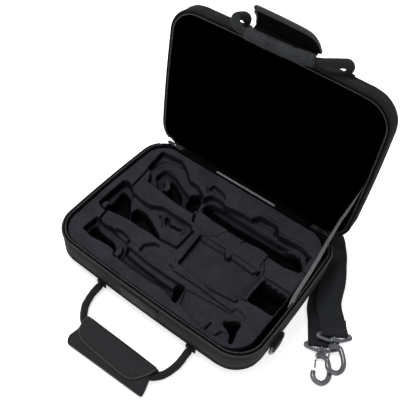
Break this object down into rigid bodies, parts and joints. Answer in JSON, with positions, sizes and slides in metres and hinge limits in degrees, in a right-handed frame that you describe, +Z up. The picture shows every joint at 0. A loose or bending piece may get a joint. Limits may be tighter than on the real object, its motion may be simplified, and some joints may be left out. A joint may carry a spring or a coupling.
{
  "type": "oboe case",
  "caption": "Zipped semi-rigid oboe case, lid open, with a fitted plush insert, two wrapped handles, stay ribbon, end rings and a shoulder strap with swivel hooks.",
  "frame": {"origin": "centre of the flat underside of the base, on the surface it lies on", "axes": "+X along the hinge towards the end with the stay ribbon, +Y from the handle side to the hinge, +Z up out of the base"},
  "size_m": [0.4372, 0.4026, 0.3246],
  "materials": {
    "shell_nylon": "woven nylon over padded board, matt",
    "piping": "corded nylon binding",
    "tape": "zip tape",
    "coil": "moulded zip coil",
    "plush": "short-pile plush over foam",
    "lining": "short-pile plush",
    "board": "fibreboard",
    "ribbon": "satin ribbon",
    "label": "plain leathercloth patch",
    "webbing": "ribbed webbing",
    "leathercloth": "grained leathercloth",
    "cord": "rolled nylon over cord",
    "hook_plastic": "moulded acetal, semi gloss",
    "nickel": "nickel plate"
  },
  "bodies": {
    "base": {"base_panel": "shell_nylon", "base_wall": "shell_nylon", "base_hem": "piping", "base_piping": "piping", "base_zip_tape": "tape", "base_zip_teeth": "coil", "insert_board": "board", "insert_block": "plush", "hinge_fabric": "shell_nylon", "hinge_ribbon": "ribbon", "stay_ribbon": "ribbon", "label_patch": "label", "base_handle_roots": "webbing", "d_ring_tab_right": "webbing", "d_ring_tab_left": "webbing", "strap_end_lower": "webbing", "strap_end_upper": "webbing", "strap_folded": "webbing", "strap_slide": "hook_plastic", "hook_loop_1": "hook_plastic", "hook_loop_2": "hook_plastic"},
    "lid": {"lid_panel": "shell_nylon", "lid_wall": "shell_nylon", "lid_lining": "lining", "lid_piping": "piping", "lid_zip_tape": "tape", "lid_zip_teeth": "coil", "lid_hem": "piping", "pocket_pouch": "shell_nylon", "pocket_zip_tape": "tape", "pocket_zip_teeth": "coil", "lid_handle_roots": "webbing"},
    "base_handle": {"base_handle_cord": "cord", "base_grip_wrap": "leathercloth"},
    "base_flap": {"base_wrap_flap": "leathercloth"},
    "lid_handle": {"lid_handle_cord": "cord", "lid_grip_sleeve": "leathercloth"},
    "lid_flap": {"lid_wrap_flap": "leathercloth"},
    "slider_right": {"zip_slider_right": "nickel"},
    "pull_right": {"zip_pull_right": "nickel"},
    "slider_left": {"zip_slider_left": "nickel"},
    "pull_left": {"zip_pull_left": "nickel"},
    "pocket_slider": {"pocket_slider": "nickel"},
    "pocket_pull": {"pocket_pull": "nickel"},
    "ring_right": {"d_ring_right": "hook_plastic"},
    "ring_left": {"d_ring_left": "hook_plastic"},
    "hook_1": {"hook_body_1": "hook_plastic"},
    "gate_1": {"hook_gate_1": "nickel"},
    "hook_2": {"hook_body_2": "hook_plastic"},
    "gate_2": {"hook_gate_2": "nickel"}
  },
  "joints": [
    {"name": "lid_hinge", "type": "hinge", "parent": "base", "child": "lid", "pos_m": [0, 0.11625, 0.044], "axis": [1, 0, 0], "range_deg": [0, 94.9], "deforming": ["stay_ribbon", "hinge_fabric", "hinge_ribbon"]},
    {"name": "base_handle_swing", "type": "hinge", "parent": "base", "child": "base_handle", "pos_m": [0.0085, -0.1313, 0.0064], "axis": [1, 0, 0], "range_deg": [-68, 0]},
    {"name": "base_flap_open", "type": "hinge", "parent": "base_handle", "child": "base_flap", "pos_m": [0.015, -0.177, 0.017], "axis": [-1, 0, 0], "range_deg": [0, 110]},
    {"name": "lid_handle_swing", "type": "hinge", "parent": "lid", "child": "lid_handle", "pos_m": [0, 0.16425, 0.28774], "axis": [1, 0, 0], "range_deg": [-90, 0]},
    {"name": "lid_flap_fold", "type": "hinge", "parent": "lid_handle", "child": "lid_flap", "pos_m": [0, 0.1455, 0.3035], "axis": [1, 0, 0], "range_deg": [-70, 45]},
    {"name": "zip_run_right", "type": "slide", "parent": "base", "child": "slider_right", "axis": [1, 0, 0], "range_m": [0, 0.008]},
    {"name": "zip_pull_swing_right", "type": "hinge", "parent": "slider_right", "child": "pull_right", "pos_m": [0.1296, 0.117, 0.0518], "axis": [0, 1, 0], "range_deg": [-80, 0]},
    {"name": "zip_run_left", "type": "slide", "parent": "base", "child": "slider_left", "axis": [-1, 0, 0], "range_m": [0, 0.008]},
    {"name": "zip_pull_swing_left", "type": "hinge", "parent": "slider_left", "child": "pull_left", "pos_m": [-0.1296, 0.117, 0.0518], "axis": [0, -1, 0], "range_deg": [-80, 0]},
    {"name": "pocket_zip_run", "type": "slide", "parent": "lid", "child": "pocket_slider", "axis": [-1, 0, 0], "range_m": [0, 0.2]},
    {"name": "pocket_pull_swing", "type": "hinge", "parent": "pocket_slider", "child": "pocket_pull", "pos_m": [0.1, 0.18349, 0.2348], "axis": [1, 0, 0], "range_deg": [-3, 80]},
    {"name": "ring_swing_right", "type": "hinge", "parent": "base", "child": "ring_right", "pos_m": [0.1729, -0.057, 0.0305], "axis": [0, -1, 0], "range_deg": [0, 110]},
    {"name": "ring_swing_left", "type": "hinge", "parent": "base", "child": "ring_left", "pos_m": [-0.1729, -0.057, 0.0305], "axis": [0, 1, 0], "range_deg": [0, 110]},
    {"name": "hook_1_swivel", "type": "hinge", "parent": "base", "child": "hook_1", "pos_m": [0.2183, -0.0102, 0.0045], "axis": [0.507, -0.862, 0], "range_deg": [-80, 0]},
    {"name": "hook_1_gate", "type": "hinge", "parent": "hook_1", "child": "gate_1", "pos_m": [0.22353, -0.03566, 0.0045], "axis": [0, 0, 1], "range_deg": [0, 28], "stiffness_Nm_per_rad": 0.02, "springref_deg": -11.46},
    {"name": "hook_2_swivel", "type": "hinge", "parent": "base", "child": "hook_2", "pos_m": [0.2251, 0.0081, 0.0132], "axis": [0.5452, -0.8383, 0], "range_deg": [-30, 0]},
    {"name": "hook_2_gate", "type": "hinge", "parent": "hook_2", "child": "gate_2", "pos_m": [0.23147, -0.0171, 0.0132], "axis": [0, 0, 1], "range_deg": [0, 28], "stiffness_Nm_per_rad": 0.02, "springref_deg": -11.46}
  ]
}
